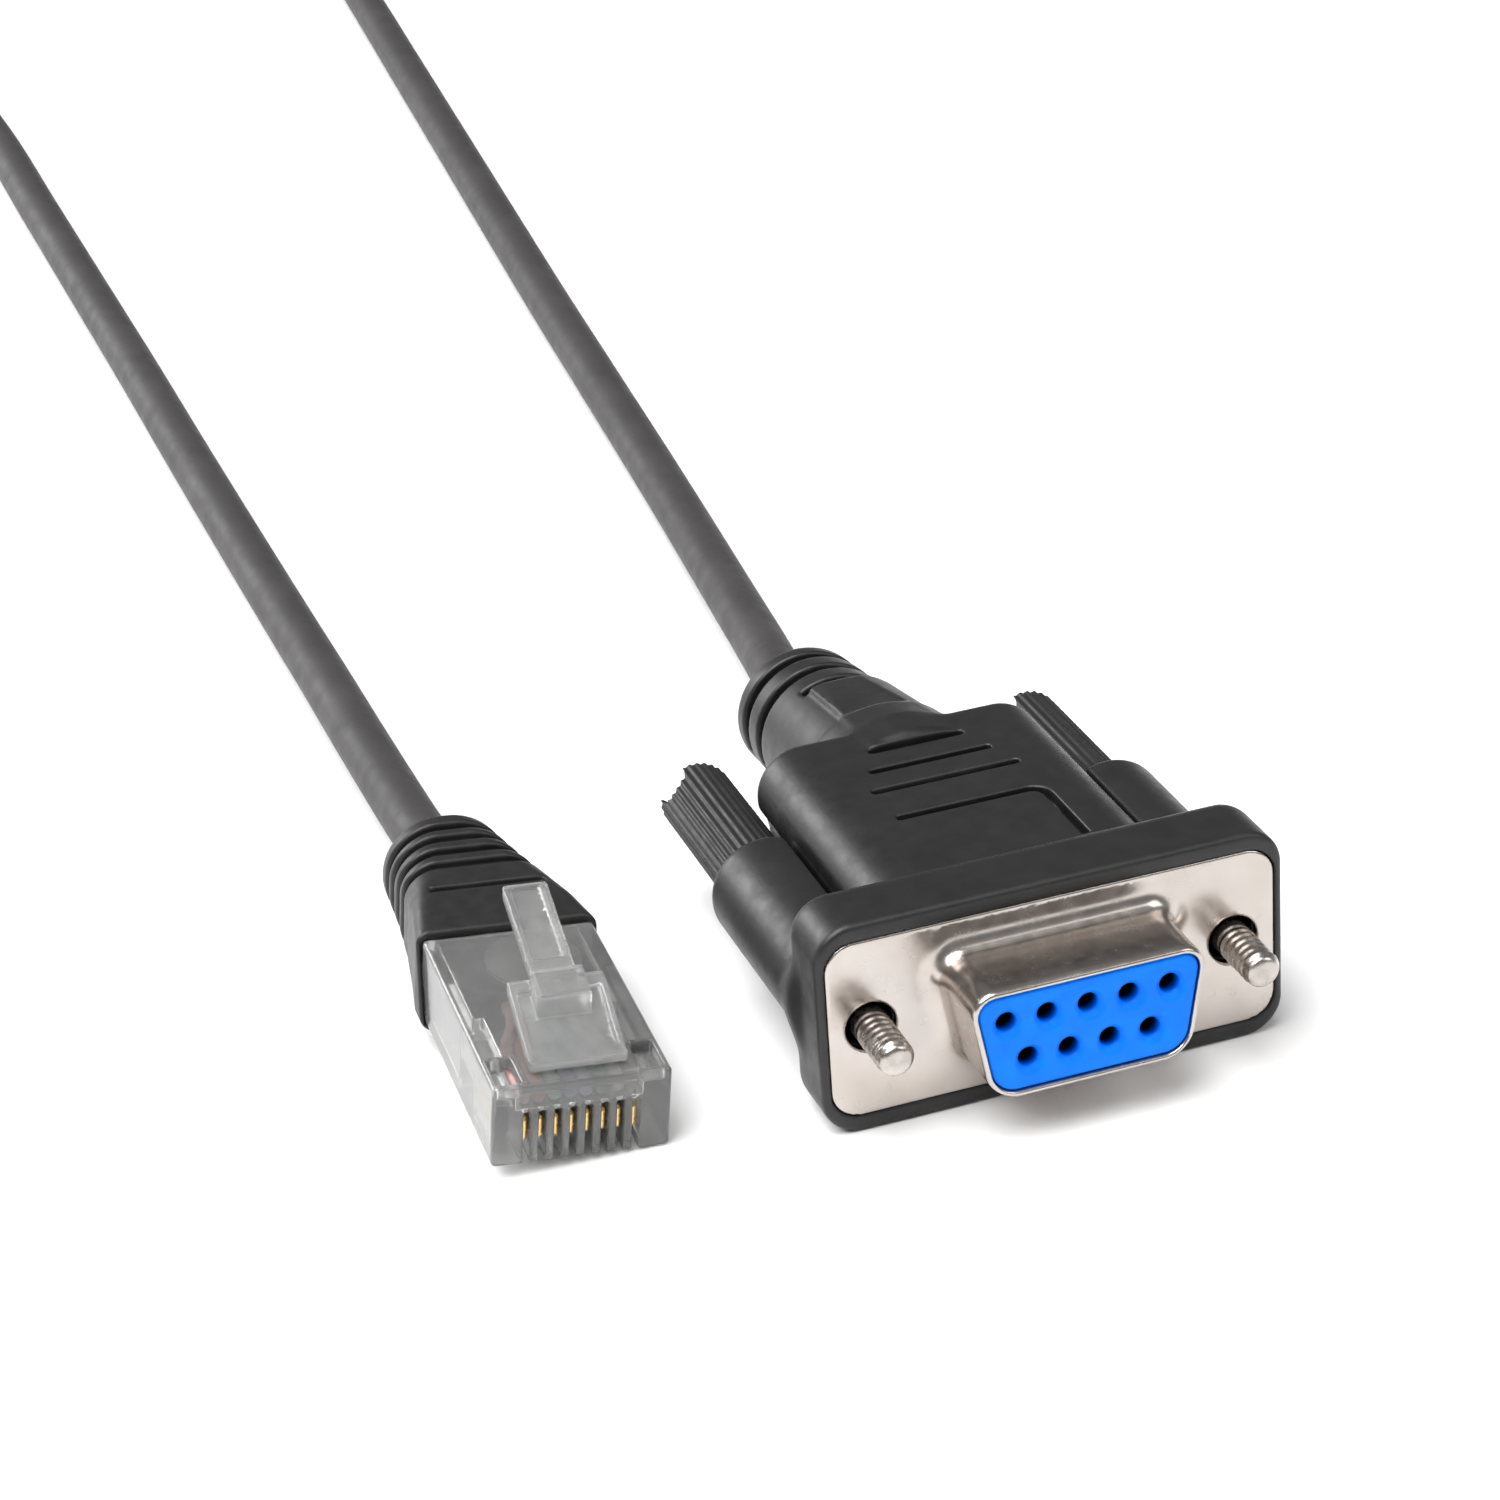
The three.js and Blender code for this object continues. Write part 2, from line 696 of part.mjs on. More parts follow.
function coil() {
  const across = turnsAcross * turnPitch;
  const high = turnsHigh * turnPitch;
  const ease = 1.6;
  const section = [
    [-across / 2 + ease, 0], [across / 2 - ease, 0], [across / 2, ease], [across / 2, high - ease],
    [across / 2 - ease, high], [-across / 2 + ease, high], [-across / 2, high - ease], [-across / 2, ease],
  ];
  const profile = section.map(([x, z]) => new THREE.Vector2(coilMeanRadius + x, z));
  profile.push(profile[0].clone());
  const geometry = new THREE.LatheGeometry(profile, coilSides);
  geometry.rotateX(Math.PI / 2);
  geometry.translate(coilX, coilY, floorZ);
  return toSolid(geometry);
}

cableParts.cable_coil = coil();

// Colours
const finishes = {
  hood: { color: 0x2e2c2d, roughness: 0.5, metalness: 0 },
  nickel: { color: 0xb9aea5, roughness: 0.35, metalness: 1 },
  blue: { color: 0x0073ff, roughness: 0.4, metalness: 0 },
  gold: { color: 0xc9a04e, roughness: 0.3, metalness: 1 },
  clear: { color: 0xd4d8d8, roughness: 0.15, metalness: 0, transparent: true, opacity: 0.4 },
  boot: { color: 0x262425, roughness: 0.55, metalness: 0 },
  cable: { color: 0x4b4849, roughness: 0.6, metalness: 0 },
};
const wireColours = [0xe8a9a0, 0xd9822b, 0xbfe0c4, 0x2f62b5, 0xb9cfe8, 0x2e8a57, 0xdccbb8, 0x7a4a2c];

function finishOf(name) {
  if (name.startsWith('plug_wire_')) {
    const index = Number(name.slice('plug_wire_'.length)) - 1;
    return { color: wireColours[index], roughness: 0.5, metalness: 0 };
  }
  if (name.startsWith('socket_contact_') || name.startsWith('plug_contact_')) {
    return finishes.gold;
  }
  const table = {
    connector_hood: 'hood',
    left_thumb_knob: 'hood',
    right_thumb_knob: 'hood',
    shell_plate: 'nickel',
    left_screw: 'nickel',
    right_screw: 'nickel',
    socket_block: 'blue',
    plug_housing: 'clear',
    plug_latch: 'clear',
    plug_boot: 'boot',
  };
  return finishes[table[name] ?? 'cable'];
}

const toOrigin = new THREE.Matrix4().makeTranslation(0, -middleY, -floorZ);

function addPieces(group, solids, matrix) {
  Object.entries(solids).forEach(([name, solid]) => {
    const geometry = toGeometry(solid);
    geometry.applyMatrix4(matrix);
    geometry.computeVertexNormals();
    const mesh = new THREE.Mesh(geometry, new THREE.MeshStandardMaterial(finishOf(name)));
    mesh.name = name;
    group.add(mesh);
  });
}

const group = new THREE.Group();
group.name = 'serial_cable';
addPieces(group, connectorParts, toOrigin);
addPieces(group, plugParts, toOrigin.clone().multiply(placement));
addPieces(group, cableParts, toOrigin);

export default group;
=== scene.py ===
import bpy
import math
import numpy as np
from mathutils import Euler, Matrix, Vector


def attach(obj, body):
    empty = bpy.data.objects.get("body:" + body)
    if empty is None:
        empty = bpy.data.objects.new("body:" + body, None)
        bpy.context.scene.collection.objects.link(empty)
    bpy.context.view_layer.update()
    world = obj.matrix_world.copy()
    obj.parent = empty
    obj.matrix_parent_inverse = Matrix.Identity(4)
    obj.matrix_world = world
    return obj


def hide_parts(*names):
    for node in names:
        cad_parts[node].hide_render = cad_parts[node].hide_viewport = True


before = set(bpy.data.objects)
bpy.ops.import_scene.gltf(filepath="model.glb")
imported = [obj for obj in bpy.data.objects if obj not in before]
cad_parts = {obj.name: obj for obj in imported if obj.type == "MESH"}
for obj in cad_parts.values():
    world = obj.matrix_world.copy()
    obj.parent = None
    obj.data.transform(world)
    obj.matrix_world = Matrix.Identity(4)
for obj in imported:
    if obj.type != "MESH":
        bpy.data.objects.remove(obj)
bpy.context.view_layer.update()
scene = bpy.context.scene
MM = 0.001
MIDDLE_Y = 20.25
FLOOR_Z = -7.5
BODY = "cable_and_connectors"

# Places are in mm. The D connector's own frame has the plate centre at its origin,
# the plug's own frame has the middle of its nose there.
ROOT = Matrix.Translation((0, -MIDDLE_Y, -FLOOR_Z))
PLUG_HALF_W = 5.84
PLUG_HALF_H = 2.9


def plug_matrix():
    turn = (Matrix.Rotation(math.radians(-1.8), 3, "Z") @ Matrix.Rotation(math.radians(3.0), 3, "X")
            @ Matrix.Rotation(math.radians(6.0), 3, "Y"))
    low = min((turn @ Vector((side * PLUG_HALF_W, 0, -PLUG_HALF_H))).z for side in (-1, 1))
    return Matrix.Translation((-30.73, 3.88, FLOOR_Z - low)) @ turn.to_4x4()


PLUG = plug_matrix()
PLUG_ROOT = ROOT @ PLUG


# Camera
def make_camera():
    place = Vector((-83.544, -223.872, 137.422)) * MM
    target = Vector((-2.253, 33.292, 0)) * MM
    roll = math.radians(-4.14)
    data = bpy.data.cameras.new("camera")
    cam = bpy.data.objects.new("camera", data)
    scene.collection.objects.link(cam)
    cam.location = place
    cam.rotation_mode = "QUATERNION"
    aim = (target - place).to_track_quat("-Z", "Y")
    cam.rotation_quaternion = aim @ Euler((0, 0, roll)).to_quaternion()
    data.lens = 96
    data.sensor_width = 36
    data.clip_start, data.clip_end = 0.01, 10
    scene.camera = cam


make_camera()

# Cable: its route in the D connector's frame
CABLE_R = 2.0
LYING = FLOOR_Z + CABLE_R + 0.05
COIL = (-6.0, 325.0)
TURN_PITCH = 4.1
COIL_OUT, COIL_IN = 28.15, 15.85
BESIDE = 32.5
BOOT_END = Vector((-0.6, 34.2, -0.8))

SOCKET_RUN = [
    (-0.6, 46.0, -0.93), (-0.55, 48.7, -1.15), (0.25, 53, -1.65), (1.38, 60, -2.5),
    (2.54, 68, -3.4), (3.91, 78, -4.35), (5.38, 90, -5.1), (6.8, 104, LYING),
    (8.59, 125, LYING), (10.63, 149, LYING), (13.0, 175, LYING), (15.29, 200, LYING),
    (18.03, 230, LYING), (20.59, 258, LYING), (COIL[0] + BESIDE, COIL[1], LYING)]
INSIDE_BOOT = 0.4
PLUG_RUN = [
    tuple(PLUG @ (BOOT_END - Vector((0, INSIDE_BOOT, 0)))), (-30.34, 40, -3.0),
    (-30.38, 45, -3.3), (-30.2, 53, -3.9), (-29.98, 63, -4.5), (-29.75, 75, -5.0),
    (-29.64, 88, -5.35), (-29.6, 102, LYING), (-29.55, 126, LYING), (-29.42, 150, LYING),
    (-29.41, 175, LYING), (-29.41, 200, LYING), (-29.41, 228, LYING), (-30.6, 255, LYING),
    (-34.4, 290, LYING), (COIL[0] - BESIDE, COIL[1], LYING)]


def through(points, step=2.0):
    """Centripetal Catmull-Rom line through the points, sampled about every step."""
    pts = [Vector(p) for p in points]
    pts = [pts[0] * 2 - pts[1]] + pts + [pts[-1] * 2 - pts[-2]]
    out = []
    for i in range(1, len(pts) - 2):
        p = pts[i - 1:i + 3]
        t = [0.0]
        for a, b in zip(p, p[1:]):
            t.append(t[-1] + (b - a).length ** 0.5)
        count = max(2, round((p[2] - p[1]).length / step))
        for k in range(count):
            u = t[1] + (t[2] - t[1]) * k / count
            a1 = p[0] * ((t[1] - u) / (t[1] - t[0])) + p[1] * ((u - t[0]) / (t[1] - t[0]))
            a2 = p[1] * ((t[2] - u) / (t[2] - t[1])) + p[2] * ((u - t[1]) / (t[2] - t[1]))
            a3 = p[2] * ((t[3] - u) / (t[3] - t[2])) + p[3] * ((u - t[2]) / (t[3] - t[2]))
            b1 = a1 * ((t[2] - u) / (t[2] - t[0])) + a2 * ((u - t[0]) / (t[2] - t[0]))
            b2 = a2 * ((t[3] - u) / (t[3] - t[1])) + a3 * ((u - t[1]) / (t[3] - t[1]))
            out.append(b1 * ((t[2] - u) / (t[2] - t[1])) + b2 * ((u - t[1]) / (t[2] - t[1])))
    out.append(pts[-2])
    return out


def coil_line():
    """The turns go inwards on the floor, up at the middle, outwards on top, then off the side."""
    out = []
    turns = 7.5
    steps_a_turn = 40
    for k in range(1, int(turns * steps_a_turn)):
        turn = k / steps_a_turn
        z = LYING
        if turn < 0.25:
            r = BESIDE + (COIL_OUT - BESIDE) * math.sin(turn * 2 * math.pi)
        elif turn < 3.25:
            r = COIL_OUT - TURN_PITCH * (turn - 0.25)
        elif turn < 4.25:
            left = 1 - (turn - 3.25)
            r, z = COIL_IN, LYING + TURN_PITCH * math.sqrt(1 - left * left)
        elif turn < 7.25:
            r, z = COIL_IN + TURN_PITCH * (turn - 4.25), LYING + TURN_PITCH
        else:
            swing = (turn - 7.25) * 2 * math.pi
            r = COIL_OUT + (BESIDE - COIL_OUT) * math.sin(swing)
            z = LYING + TURN_PITCH * math.cos(swing)
        angle = turn * 2 * math.pi
        out.append(Vector((COIL[0] + r * math.cos(angle), COIL[1] + r * math.sin(angle), z)))
    return out


def tube(name, points, radius):
    """A round tube along the points, as a mesh."""
    data = bpy.data.curves.new(name, "CURVE")
    data.dimensions = "3D"
    data.bevel_depth = radius * MM
    data.bevel_resolution = 6
    data.use_fill_caps = True
    line = data.splines.new("POLY")
    line.points.add(len(points) - 1)
    for spot, point in zip(line.points, points):
        spot.co = (*point, 1)
    guide = bpy.data.objects.new("guide", data)
    scene.collection.objects.link(guide)
    graph = bpy.context.evaluated_depsgraph_get()
    mesh = bpy.data.meshes.new_from_object(guide.evaluated_get(graph))
    bpy.data.objects.remove(guide)
    bpy.data.curves.remove(data)
    mesh.shade_smooth()
    obj = bpy.data.objects.new(name, mesh)
    scene.collection.objects.link(obj)
    return obj


cable_line = [ROOT @ p * MM for p in through(SOCKET_RUN) + coil_line() + through(PLUG_RUN)[::-1]]
cable = tube("cable", cable_line, CABLE_R)
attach(cable, BODY)
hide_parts("cable_socket_run", "cable_coil", "cable_plug_run")


# Mesh helpers
def add_mesh(name, verts, faces, matrix):
    """A mesh from points in mm of a connector's own frame, set down in the scene's in metres."""
    pts = np.asarray(verts, dtype=np.float64)
    m = np.array(matrix)
    pts = (pts @ m[:3, :3].T + m[:3, 3]) * MM
    data = bpy.data.meshes.new(name)
    data.from_pydata(pts.tolist(), [], [tuple(f) for f in faces.tolist()])
    data.validate()
    data.shade_smooth()
    obj = bpy.data.objects.new(name, data)
    scene.collection.objects.link(obj)
    return obj


def settle(obj):
    """Applies the modifiers that were added to the object."""
    graph = bpy.context.evaluated_depsgraph_get()
    graph.update()
    data = bpy.data.meshes.new_from_object(obj.evaluated_get(graph))
    obj.modifiers.clear()
    old = obj.data
    obj.data = data
    bpy.data.meshes.remove(old)
    return obj


# Fields: each is the distance in mm to a shape's surface, less than zero inside
def length2(a, b):
    return np.sqrt(a * a + b * b)


def rect(u, v, half_u, half_v, radius):
    """Rounded rectangle in a plane."""
    qu = np.abs(u) - half_u + radius
    qv = np.abs(v) - half_v + radius
    return length2(np.maximum(qu, 0), np.maximum(qv, 0)) + np.minimum(np.maximum(qu, qv), 0) - radius


def along(shape, w, low, high, radius):
    """A plane shape given a length from low to high, its end edges rounded."""
    return both(shape, np.maximum(low - w, w - high), radius)


def either(a, b, blend=0.0):
    """Union, with a soft hollow of about that size where the two meet."""
    if blend <= 0:
        return np.minimum(a, b)
    h = np.maximum(blend - np.abs(a - b), 0) / blend
    return np.minimum(a, b) - h * h * blend * 0.25


def both(a, b, blend=0.0):
    """What lies in a and in b, the edge where they meet rounded."""
    return -either(-a, -b, blend)


def cut(a, b, blend=0.0):
    """a without b, its new edge rounded."""
    return -either(-a, b, blend)


def surface(name, low, high, cell, field, matrix):
    """The surface where the field is zero: a point in each grid cell it passes, moved onto it."""
    axes = [np.arange(a, b + cell, cell, dtype=np.float32) for a, b in zip(low, high)]
    grid = field(axes[0][:, None, None], axes[1][None, :, None], axes[2][None, None, :]).astype(np.float32)
    inside = grid < 0
    count = np.zeros([n - 1 for n in grid.shape], dtype=np.int8)
    corner = [(i, j, k) for i in (0, 1) for j in (0, 1) for k in (0, 1)]

    def shifted(array, c):
        nx, ny, nz = (n - 1 for n in array.shape)
        return array[c[0]:c[0] + nx, c[1]:c[1] + ny, c[2]:c[2] + nz]

    for c in corner:
        count += shifted(inside, c)
    cells = np.argwhere((count > 0) & (count < 8))
    index = np.full(count.shape, -1, dtype=np.int64)
    index[tuple(cells.T)] = np.arange(len(cells))
    values = np.stack([grid[tuple((cells + c).T)] for c in corner], axis=1)
    total = np.zeros((len(cells), 3))
    hits = np.zeros(len(cells))
    for a in range(8):
        for b in range(a + 1, 8):
            pa, pb = np.array(corner[a]), np.array(corner[b])
            if np.abs(pa - pb).sum() != 1:
                continue
            va, vb = values[:, a], values[:, b]
            crossed = (va < 0) != (vb < 0)
            share = np.where(crossed, va / np.where(crossed, va - vb, 1), 0)
            total += crossed[:, None] * (pa + share[:, None] * (pb - pa))
            hits += crossed
    start = np.array([axis[0] for axis in axes])
    points = start + (cells + total / hits[:, None]) * cell
    bound = start + cells * cell
    moves, reach = 3, 0.02
    for _ in range(moves):
        at = field(*points.T)
        slope = np.stack([
            (field(*(points + step).T) - field(*(points - step).T)) / (2 * reach)
            for step in np.eye(3) * reach], axis=1)
        size = np.maximum((slope * slope).sum(axis=1), 0.25)
        points = points - np.clip(slope * (at / size)[:, None], -cell * 0.5, cell * 0.5)
        points = np.clip(points, bound - cell * 0.3, bound + cell * 1.3)
    faces = []
    for axis in range(3):
        u, v = [(1, 2), (2, 0), (0, 1)][axis]
        size = list(inside.shape)
        first = [slice(None)] * 3
        second = [slice(None)] * 3
        first[axis], second[axis] = slice(0, size[axis] - 1), slice(1, size[axis])
        for other in (u, v):
            first[other] = second[other] = slice(1, size[other] - 1)
        a, b = inside[tuple(first)], inside[tuple(second)]
        for here, turn in ((a & ~b, 1), (b & ~a, -1)):
            edge = np.argwhere(here)
            edge[:, u] += 1
            edge[:, v] += 1
            ring = []
            for du, dv in ((-1, -1), (0, -1), (0, 0), (-1, 0))[::turn]:
                place = edge.copy()
                place[:, u] += du
                place[:, v] += dv
                ring.append(index[tuple(place.T)])
            faces.append(np.stack(ring, axis=1))
    return add_mesh(name, points, np.concatenate(faces), matrix)


def thin(obj, share):
    """Leaves about that share of the faces, fewest where it is flat."""
    cutter = obj.modifiers.new("thin", "DECIMATE")
    cutter.ratio = share
    cutter.use_collapse_triangulate = True
    settle(obj)
    obj.data.shade_smooth()
    return obj


# D connector
RIM_HALF_W, RIM_HALF_H, RIM_CORNER, RIM_DEPTH = 16.0, 7.5, 2.6, 5.5
BODY_HALF_W, BODY_HALF_H, BODY_CORNER = 10.4, 6.2, 3.3
BODY_FRONT = 4.0
BODY_BACK = 27.6
BOSS_R, BOSS_BACK = 3.85, 20.3
BOSS_SLOT_X, BOSS_SLOT_HALF = 10.68, 0.27
KNOB_CHANNEL_R = 2.95
SCREW_X = 12.495
SCREW_BORE_R = 1.7
# Each pressed line on top: its y, and its ends in x
PRESSED_LINES = ((24.0, -2.9, 3.4), (21.2, -3.9, 4.3), (18.4, -4.8, 5.2))
PRESSED_HALF = 0.33
# Strain relief
RELIEF_BACK = 46.4
RELIEF_R, RELIEF_SWELL = 4.9, 1.5
RELIEF_DROOP, RELIEF_ASIDE = 0.95, 0.6
RELIEF_GROOVES = (41.0, 44.0)
RELIEF_TOP_GROOVE = 38.0
PAD_X, PAD_HALF_W, PAD_BACK = 0.9, 3.5, 37.4
COLLAR_BACK = 30.5
# Metal front and what it holds
PLATE_HALF_W, PLATE_HALF_H, PLATE_CORNER = 15.4, 6.275, 2.0
SEAT_HALF_W, SEAT_HALF_H, SEAT_CORNER = 15.46, 6.33, 2.06
SEAT_GAP = 0.06
SHELL_HALF_W, SHELL_HALF_H = 8.165, 3.95
SHELL_LEAN = math.radians(10)
SHELL_REACH = 5.9
SHELL_WALL = 0.45
PLATE_THICK = 0.8
BLOCK_FRONT = -5.65
BLOCK_BACK = 5.0
SOCKET_PITCH, SOCKET_ROW = 2.77, 1.42
SOCKET_R = 0.66
CONTACT_FRONT = -3.4
CONTACT_R, CONTACT_BORE_R = 0.56, 0.36


def dee(x, z, grow=0.0, corner=1.9):
    """The D outline: wide at the top, its sides leaning in by ten degrees."""
    half_h = SHELL_HALF_H + grow
    half_w = SHELL_HALF_W + grow
    radius = corner + grow
    lean = (half_h - z) * math.tan(SHELL_LEAN)
    side = (np.abs(x) - half_w + lean) * math.cos(SHELL_LEAN) + radius
    end = np.abs(z) - half_h + radius
    return length2(np.maximum(side, 0), np.maximum(end, 0)) + np.minimum(np.maximum(side, end), 0) - radius


def line_on_top(x, y, z, x0, x1, y0):
    """A pressed line across the top, with round ends."""
    depth = 0.9
    run = np.maximum(np.maximum(x0 - x, x - x1), 0)
    return np.maximum(length2(run, y - y0) - PRESSED_HALF, BODY_HALF_H - depth - z)


def relief_share(y):
    """0 at the hood's back, 1 at the strain relief's end."""
    return (y - BODY_BACK) / (RELIEF_BACK - BODY_BACK)


def relief_radius(y):
    return RELIEF_R + RELIEF_SWELL * (1 - np.clip(relief_share(y), 0, 1)) ** 1.6


def relief_field(x, y, z):
    share = np.maximum(relief_share(y), 0)
    up = z + RELIEF_DROOP * share * share
    across = length2(x + RELIEF_ASIDE * share, up)
    front = BODY_BACK - 3 - y
    radius = relief_radius(y)
    skin = both(across - radius, np.maximum(y - RELIEF_BACK, front), 0.9)
    # A flat pad on top, from the hood to the short groove, with steep sides
    pad_height = np.maximum(up - 6.0 + 0.05 * (y - BODY_BACK), -up)
    pad_outline = np.maximum(np.abs(x - PAD_X) - PAD_HALF_W, y - PAD_BACK)
    pad = both(pad_height, pad_outline, 0.4)
    pad = np.maximum(np.maximum(pad, front), across - radius - 0.3)
    skin = either(skin, pad, 0.3)
    # A low collar next to the hood
    collar = both(across - radius - 0.35, np.maximum(y - COLLAR_BACK, front), 0.6)
    skin = either(skin, collar, 0.5)
    # Two grooves all round but for a bridge on each side, and a short one on top
    for middle in RELIEF_GROOVES:
        ring = np.maximum(np.abs(y - middle) - 0.52, radius - 1.0 - across)
        bridge = 0.35 - np.abs(up + 2.2)
        skin = cut(skin, np.maximum(ring, bridge), 0.3)
    short = np.maximum(np.abs(y - RELIEF_TOP_GROOVE) - 0.45, radius - 0.9 - across)
    short_ends = np.maximum(np.abs(x - 0.7) - 3.6, 2.0 - z)
    return cut(skin, np.maximum(short, short_ends), 0.3)


def hood_field(x, y, z):
    rim = both(rect(x, z, RIM_HALF_W, RIM_HALF_H, RIM_CORNER), y - RIM_DEPTH, 1.5)
    rim = both(rim, -y, 0.5)
    body_outline = rect(x, z, BODY_HALF_W, BODY_HALF_H, BODY_CORNER)
    body = both(body_outline, np.maximum(BODY_FRONT - y, y - BODY_BACK), 1.0)
    boss_r = length2(np.abs(x) - SCREW_X, z)
    boss = both(boss_r - BOSS_R, np.maximum(BODY_FRONT - y, y - BOSS_BACK), 0.8)
    # The narrow channel between body and boss, above and below the web that joins them
    slot = rect(np.abs(x) - BOSS_SLOT_X, y - 14.5, BOSS_SLOT_HALF, 8.0, 0.25)
    slot = np.maximum(slot, 1.1 - np.abs(z))
    whole = either(body, boss)
    whole = cut(whole, slot, 0.3)
    whole = cut(whole, np.maximum(boss_r - KNOB_CHANNEL_R, BOSS_BACK + 0.1 - y), 0.4)
    whole = either(rim, whole, 1.3)
    whole = either(whole, relief_field(x, y, z), 0.5)
    for y0, x0, x1 in PRESSED_LINES:
        whole = cut(whole, line_on_top(x, y, z, x0, x1, y0), 0.12)
    # A pressed frame of which only the back and the right side show
    frame_line = rect(x + 3.6, y - 8.4, 9.0, 5.9, 1.2)
    half_frame = np.maximum(np.abs(frame_line) - PRESSED_HALF, 5.3 - z)
    half_frame = np.maximum(half_frame, np.minimum(13.2 - y, 4.4 - x))
    half_frame = np.maximum(half_frame, np.maximum(7.0 - y, -4.9 - x))
    whole = cut(whole, half_frame, 0.12)
    whole = cut(whole, np.maximum(boss_r - SCREW_BORE_R, y - BOSS_BACK - 1.0), 0.2)
    seat_outline = rect(x, z, SEAT_HALF_W, SEAT_HALF_H, SEAT_CORNER)
    seat = np.maximum(seat_outline, y - PLATE_THICK - SEAT_GAP)
    whole = cut(whole, seat)
    return cut(whole, np.maximum(dee(x, z, 0.3), y - BLOCK_BACK - 0.3))


def build_hood():
    hood = surface("hood", (-17, -0.5, -7.9), (17, 47, 7.9), 0.19, hood_field, ROOT)
    thin(hood, 0.5)
    return hood


def plate_field(x, y, z):
    plate_outline = rect(x, z, PLATE_HALF_W, PLATE_HALF_H, PLATE_CORNER)
    plate = along(plate_outline, y, 0.02, PLATE_THICK, 0.15)
    wall = dee(x, z)
    outer = both(np.maximum(wall, y - PLATE_THICK), -SHELL_REACH - y, 0.55)
    whole = either(plate, outer, 1.5)
    whole = cut(whole, dee(x, z, -SHELL_WALL), 0.3)
    hole = length2(np.abs(x) - SCREW_X, z) - SCREW_BORE_R
    return cut(whole, hole, 0.2)


def build_plate():
    plate = surface("shell_and_plate", (-15.8, -6.3, -6.7), (15.8, 1.2, 6.7), 0.15, plate_field, ROOT)
    thin(plate, 0.5)
    return plate


def sockets():
    """The middles of the nine sockets: five in the top row, four below."""
    top = [((i - 2) * SOCKET_PITCH, SOCKET_ROW) for i in range(5)]
    return top + [((i - 1.5) * SOCKET_PITCH, -SOCKET_ROW) for i in range(4)]


def block_field(x, y, z):
    block = along(dee(x, z, -SHELL_WALL - SEAT_GAP), y, BLOCK_FRONT, BLOCK_BACK, 0.25)
    for cx, cz in sockets():
        away = length2(x - cx, z - cz)
        block = cut(block, away - SOCKET_R, 0.12)
        dish = length2(away, (y - BLOCK_FRONT + 0.95) * 0.9) - 1.35
        block = cut(block, dish, 0.15)
    return block


def build_block():
    block = surface("socket_insert", (-8.3, -6.0, -4.1), (8.3, 5.3, 4.1), 0.13, block_field, ROOT)
    thin(block, 0.4)
    return block


SCREW_R, SCREW_TIP, SCREW_BACK = 1.25, -4.7, 29.6
THREAD_PITCH, THREAD_DEPTH, THREAD_BACK = 0.635, 0.075, 3.5


def screw_field(side):
    def field(x, y, z):
        across = length2(x - side * SCREW_X, z)
        turn = np.arctan2(z, x - side * SCREW_X) / (2 * math.pi)
        wave = np.abs(((y / THREAD_PITCH - turn) % 1.0) * 2 - 1)
        depth = THREAD_DEPTH * np.clip((THREAD_BACK - y) / 0.6, 0, 1)
        ends = np.maximum(SCREW_TIP - y, y - SCREW_BACK)
        return both(across - SCREW_R + depth * wave, ends, 0.8)
    return field


KNOB_R = 2.6
KNOB_FRONT = 20.6
KNOB_BACK = 34.7
KNOB_BORE_R, KNOB_BORE_DEPTH = 1.37, 9.3
FLUTES, FLUTE_DEPTH = 28, 0.14
NOTCH_R, NOTCH_TURN = 1.3, 51


def knob_field(side):
    def field(x, y, z):
        u, v = x - side * SCREW_X, z
        across = length2(u, v)
        angle = np.arctan2(v, u)
        fluted = np.clip((y - KNOB_FRONT - 1.0) / 0.4, 0, 1)
        flute = FLUTE_DEPTH * (0.5 + 0.5 * np.cos(FLUTES * angle)) * fluted
        ends = np.maximum(KNOB_FRONT - y, y - KNOB_BACK)
        knob = both(across - KNOB_R + flute, ends, 0.3)
        # The notch that runs across the knob's end
        lean = math.radians(NOTCH_TURN)
        off = u * math.cos(lean) + v * math.sin(lean)
        knob = cut(knob, length2(off, y - KNOB_BACK + 0.4) - NOTCH_R, 0.2)
        bore = np.maximum(across - KNOB_BORE_R, y - KNOB_FRONT - KNOB_BORE_DEPTH)
        return cut(knob, bore)
    return field


def build_screw(side, word):
    x = side * SCREW_X
    low, high = (x - 1.4, -4.9, -1.4), (x + 1.4, 29.8, 1.4)
    screw = surface(f"{word}_jackscrew", low, high, 0.1, screw_field(side), ROOT)
    thin(screw, 0.6)
    low, high = (x - 2.8, 20.3, -2.8), (x + 2.8, 35, 2.8)
    knob = surface(f"{word}_knob", low, high, 0.13, knob_field(side), ROOT)
    thin(knob, 0.7)
    return screw, knob


# Modular plug
PLUG_LENGTH = 18.6
BOOT_BACK = 34.2
CAVITY_HALF_W, CAVITY_HALF_H, CAVITY_FRONT = 4.84, 2.0, 9.0
CHAMBER_HALF_W, CHAMBER_BACK = 4.2, 9.5
WIRE_Z, WIRE_R = 1.35, 0.42
WAY_PITCH = 1.02
WAYS = [(i - 3.5) * WAY_PITCH for i in range(8)]


